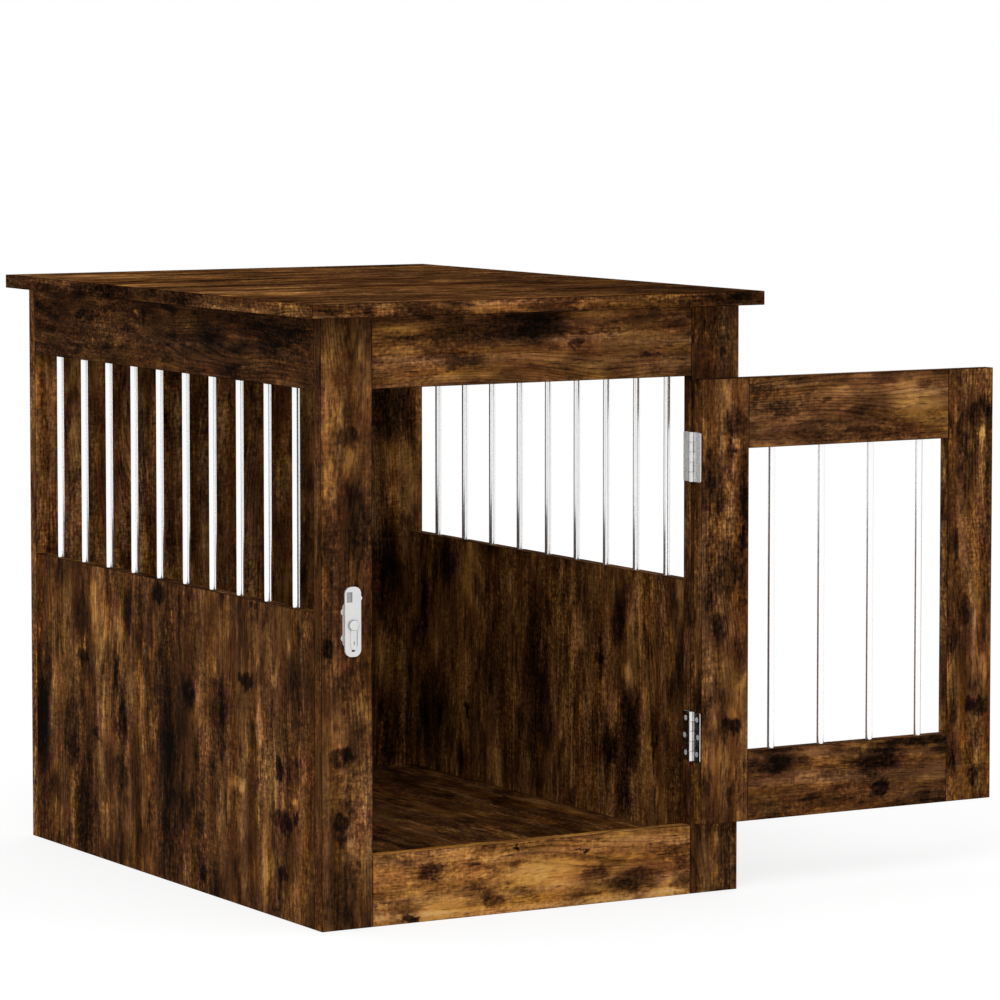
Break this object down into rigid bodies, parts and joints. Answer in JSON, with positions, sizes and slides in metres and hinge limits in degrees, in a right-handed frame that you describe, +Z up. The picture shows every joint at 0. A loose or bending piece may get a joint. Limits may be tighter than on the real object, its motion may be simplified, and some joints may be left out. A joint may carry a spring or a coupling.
{
  "type": "dog crate end table",
  "caption": "Wooden end table that is a dog crate: a box with barred sides, a solid back and a barred front door that swings fully open and is held shut by a turn latch.",
  "frame": {"origin": "on the floor, under the middle of the front bottom rail, halfway through the rail's thickness", "axes": "+Z up, +X to the right as seen from the front, +Y from the front towards the back; the front faces -Y"},
  "size_m": [0.852, 0.751, 0.65],
  "materials": {
    "smoked_oak_board": "printed smoked oak decor on chipboard, low gloss",
    "plain_beech": "plain beech",
    "bar_steel": "bright polished steel bar",
    "hinge_steel": "bright zinc plated steel",
    "latch_metal": "pale satin plated metal"
  },
  "bodies": {
    "crate": {"tabletop": "smoked_oak_board", "front_left_post": "smoked_oak_board", "front_right_post": "smoked_oak_board", "front_top_rail": "smoked_oak_board", "front_bottom_rail": "smoked_oak_board", "back_panel": "smoked_oak_board", "left_lower_panel": "smoked_oak_board", "right_lower_panel": "smoked_oak_board", "left_top_rail": "smoked_oak_board", "right_top_rail": "smoked_oak_board", "floor_panel": "smoked_oak_board", "top_rail_left_dowel_01": "plain_beech", "top_rail_left_dowel_02": "plain_beech", "top_rail_right_dowel_01": "plain_beech", "top_rail_right_dowel_02": "plain_beech", "bottom_rail_left_dowel_01": "plain_beech", "bottom_rail_left_dowel_02": "plain_beech", "bottom_rail_right_dowel_01": "plain_beech", "bottom_rail_right_dowel_02": "plain_beech", "left_floor_cleat": "plain_beech", "right_floor_cleat": "plain_beech", "left_bar_01": "bar_steel", "left_bar_02": "bar_steel", "left_bar_03": "bar_steel", "left_bar_04": "bar_steel", "left_bar_05": "bar_steel", "left_bar_06": "bar_steel", "left_bar_07": "bar_steel", "left_bar_08": "bar_steel", "left_bar_09": "bar_steel", "left_bar_10": "bar_steel", "right_bar_01": "bar_steel", "right_bar_02": "bar_steel", "right_bar_03": "bar_steel", "right_bar_04": "bar_steel", "right_bar_05": "bar_steel", "right_bar_06": "bar_steel", "right_bar_07": "bar_steel", "right_bar_08": "bar_steel", "right_bar_09": "bar_steel", "right_bar_10": "bar_steel", "upper_hinge_frame_leaf": "hinge_steel", "lower_hinge_frame_leaf": "hinge_steel", "upper_hinge_pin": "hinge_steel", "lower_hinge_pin": "hinge_steel", "latch_base_plate": "latch_metal", "latch_pivot": "hinge_steel"},
    "door": {"door_hinge_stile": "smoked_oak_board", "door_latch_stile": "smoked_oak_board", "door_top_rail": "smoked_oak_board", "door_bottom_rail": "smoked_oak_board", "door_bar_01": "bar_steel", "door_bar_02": "bar_steel", "door_bar_03": "bar_steel", "door_bar_04": "bar_steel", "upper_hinge_door_leaf": "hinge_steel", "lower_hinge_door_leaf": "hinge_steel"},
    "latch": {"latch_turn_bar": "latch_metal", "latch_thumb_lever": "latch_metal"}
  },
  "joints": [
    {"name": "door_hinge", "type": "hinge", "parent": "crate", "child": "door", "pos_m": [0.1935, -0.0105, 0.3175], "axis": [0, 0, -1], "range_deg": [0, 180]},
    {"name": "latch_turn", "type": "hinge", "parent": "crate", "child": "latch", "pos_m": [-0.221, -0.0125, 0.3175], "axis": [0, 1, 0], "range_deg": [0, 90]}
  ]
}
